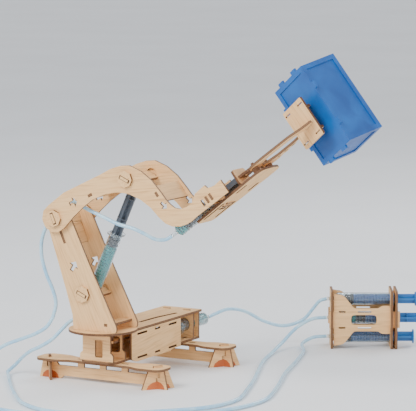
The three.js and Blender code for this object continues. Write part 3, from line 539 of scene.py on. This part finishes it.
# ---- burnt slots where tongues come through the washers
LIFT_ANGLE = math.atan2(lift_dir.z, lift_dir.x) - math.pi / 2
for name, centre, angle, outer, body in (
    ("boom_pivot", BOOM_PIVOT, math.radians(BOOM_PIVOT_TURN), 31.0, "tower"),
    ("lift_low", LIFT_LOW, LIFT_ANGLE, 25.0, "lift_cylinder"),
    ("lift_top", LIFT_TOP, LIFT_ANGLE, 31.0, "lift_rod"),
):
    u = Vector((math.cos(angle), 0, math.sin(angle)))
    w = Vector((-u.z, 0, u.x))
    face = outer + SHEET / 2 + CLEARANCE + SHEET
    long, wide = SLOT_HALF_LONG, SLOT_HALF_WIDE
    outline = [(-long, -wide), (long, -wide), (long, wide), (-long, wide)]
    for side, tag in ((-1, "left"), (1, "right")):
        start = centre + side * (face - 0.2) * Y
        mark = make(f"slot_{name}_{tag}", *prism(outline, start, side * Y, u, w, SLOT_DEPTH), CHAR)
        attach(mark, body)

# ---- hoses
def smooth_line(points, step):
    """The centripetal curve through the points, in millimetres, with points about a step apart."""
    p = [np.array(q, float) for q in points]
    p = [2 * p[0] - p[1], *p, 2 * p[-1] - p[-2]]
    line = []
    for a, b, c, d in zip(p, p[1:], p[2:], p[3:]):
        t = np.cumsum([0] + [max(np.linalg.norm(n - m), 1e-6) ** 0.5 for m, n in ((a, b), (b, c), (c, d))])
        count = max(2, math.ceil(np.linalg.norm(c - b) / step))
        for x in np.linspace(t[1], t[2], count, endpoint=False):
            a1 = (t[1] - x) / (t[1] - t[0]) * a + (x - t[0]) / (t[1] - t[0]) * b
            a2 = (t[2] - x) / (t[2] - t[1]) * b + (x - t[1]) / (t[2] - t[1]) * c
            a3 = (t[3] - x) / (t[3] - t[2]) * c + (x - t[2]) / (t[3] - t[2]) * d
            b1 = (t[2] - x) / (t[2] - t[0]) * a1 + (x - t[0]) / (t[2] - t[0]) * a2
            b2 = (t[3] - x) / (t[3] - t[1]) * a2 + (x - t[1]) / (t[3] - t[1]) * a3
            line.append((t[2] - x) / (t[2] - t[1]) * b1 + (x - t[1]) / (t[2] - t[1]) * b2)
    line.append(p[-2])
    return [Vector(q) for q in line]


def tube(name, points, cad_nodes, bodies, bend=None):
    """A round hose along the points, attached to the first body; with a bend given, its transform is baked
    into the mesh and it stays unattached.
    """
    line = smooth_line(points, 3.0)
    sides, normal = 20, None
    vertices, faces = [], []
    for i, here in enumerate(line):
        ahead = (line[min(i + 1, len(line) - 1)] - line[max(i - 1, 0)]).normalized()
        normal = ahead.orthogonal() if normal is None else normal - normal.dot(ahead) * ahead
        normal.normalize()
        other = ahead.cross(normal)
        for k in range(sides):
            angle = 2 * math.pi * k / sides
            vertices.append(row(here + HOSE_R * (math.cos(angle) * normal + math.sin(angle) * other)))
    for i in range(len(line) - 1):
        for k in range(sides):
            j = (k + 1) % sides
            faces.append([i * sides + k, i * sides + j, (i + 1) * sides + j, (i + 1) * sides + k])
    last = (len(line) - 1) * sides
    faces += [list(range(sides)), [last + k for k in range(sides)]]
    obj = make(name, vertices, faces, TUBING, smooth=60)
    if cad_nodes:
        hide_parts(*cad_nodes)
    if bend:
        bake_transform(obj)
    else:
        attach(obj, bodies[0])


def port(i):
    return tuple(in_control(0.2, 0, ROW_Z[i]))


L = LYING
tube("hose_to_swing_syringe", [
    (12, 246.8, 47), (14, 260, 49), (22, 284, 53), (34, 306, 48), (52, 330, 32), (72, 348, 25), (94, 360, 33),
    (110, 360, 50), (121, 358, 61.5), port(0),
], ["hose_swing"], ["base"])

LIFT_DROP = [
    tuple(along_lift(-7.3)), (-18, -1, 102), (-24, -3, 91), (-33, -6, 82), (-43, -10, 75),
    (-51, -15, 66), (-60, -23, 54),
    (-75, -27, 44), (-95, -19, 35), (-116, -6, 23), (-130, -2, 11), (-131, -18, 5),
]
tube("hose_lift_drop", LIFT_DROP, ["hose_lift_tower"], ["tower", "base"], ((-46, 0, 72), (-124, 0, 16)))
tube("hose_lift_run", [
    (-131, -18, 5), (-115, -40, L), (-84, -82, L), (-51, -123, L), (-8, -168, L), (45, -190, L),
    (105, -168, L),
    (160, -122, L), (195, -75, L), (202, -22, L), (184, 37, L), (160, 100, L), (137, 154, L), (112, 215, L),
    (96, 268, L), (90, 310, 10), (98, 338, 27), (113, 353, 37), port(1),
], ["hose_lift_line"], ["base"])

tube("hose_gripper_upper", [
    tuple(along_grip(-114.8)), (93, -3, 188), (83, -10, 188), (70, -16, 195), (55, -19, 201), (35, -20, 205),
    (12, -20, 213), (-6, -19, 219), (-22, -16, 224), (-36, -12.5, 228), (-50, -10, 229),
    (-61, -10.5, 224), (-70, -11, 212),
    (-75, -12, 195), (-82, -12, 175), (-82, -12, 155), (-75, -13, 134), (-65, -14, 115),
    (-59, -16, 98), (-61, -20, 81),
], ["hose_gripper_boom", "hose_gripper_tower"], ["boom", "tower"], ((-34, 0, 226), (-74, 0, 190)))
tube("hose_gripper_drop", [
    (-61, -20, 81), (-67, -26, 69), (-81, -29, 60), (-106, -24, 50), (-135, -22, 38),
    (-154, -36, 22), (-158, -68, 8),
], [], ["tower", "base"], ((-62, 0, 78), (-152, 0, 24)))
tube("hose_gripper_run", [
    (-158, -68, 8), (-134, -120, L), (-84, -178, L), (-24, -208, L), (50, -210, L),
    (120, -185, L), (180, -135, L),
    (222, -75, L), (232, -10, L), (212, 60, L), (174, 159, L), (150, 235, L), (124, 305, L), (106, 338, 6),
    (114, 353, 12), port(2),
], ["hose_gripper_line"], ["base"])


# ---- floor and light
def stage_material():
    n = Nodes("studio_floor")
    dust = n.noise(n.coordinates(), 3, 3)
    colour = n.ramp(dust, (0.3, (0.80, 0.81, 0.82)), (0.7, (0.84, 0.85, 0.86)))
    return n.set(Base_Color=colour, Roughness=0.85)


floor_mesh = bpy.data.meshes.new("floor")
floor_mesh.from_pydata([(-60, -60, 0), (60, -60, 0), (60, 60, 0), (-60, 60, 0)], [], [(0, 1, 2, 3)])
floor_mesh.materials.append(stage_material())
floor = bpy.data.objects.new("floor", floor_mesh)
bpy.context.scene.collection.objects.link(floor)


def softbox(name, place, power, size):
    light = bpy.data.lights.new(name, "AREA")
    light.energy, light.size = power, size
    obj = bpy.data.objects.new(name, light)
    bpy.context.scene.collection.objects.link(obj)
    obj.location = place
    obj.rotation_euler = (Vector((0, 0, 0.15)) - Vector(place)).to_track_quat("-Z", "Y").to_euler()


softbox("key", (-0.5, -1.6, 1.5), 38, 0.9)
softbox("fill", (1.9, -0.9, 0.9), 14, 1.2)
softbox("rim", (0.3, 1.7, 1.4), 18, 1.0)
world = bpy.data.worlds.new("studio")
world.use_nodes = True
world.node_tree.nodes["Background"].inputs["Color"].default_value = (0.92, 0.95, 1.0, 1)
world.node_tree.nodes["Background"].inputs["Strength"].default_value = 1.0
bpy.context.scene.world = world
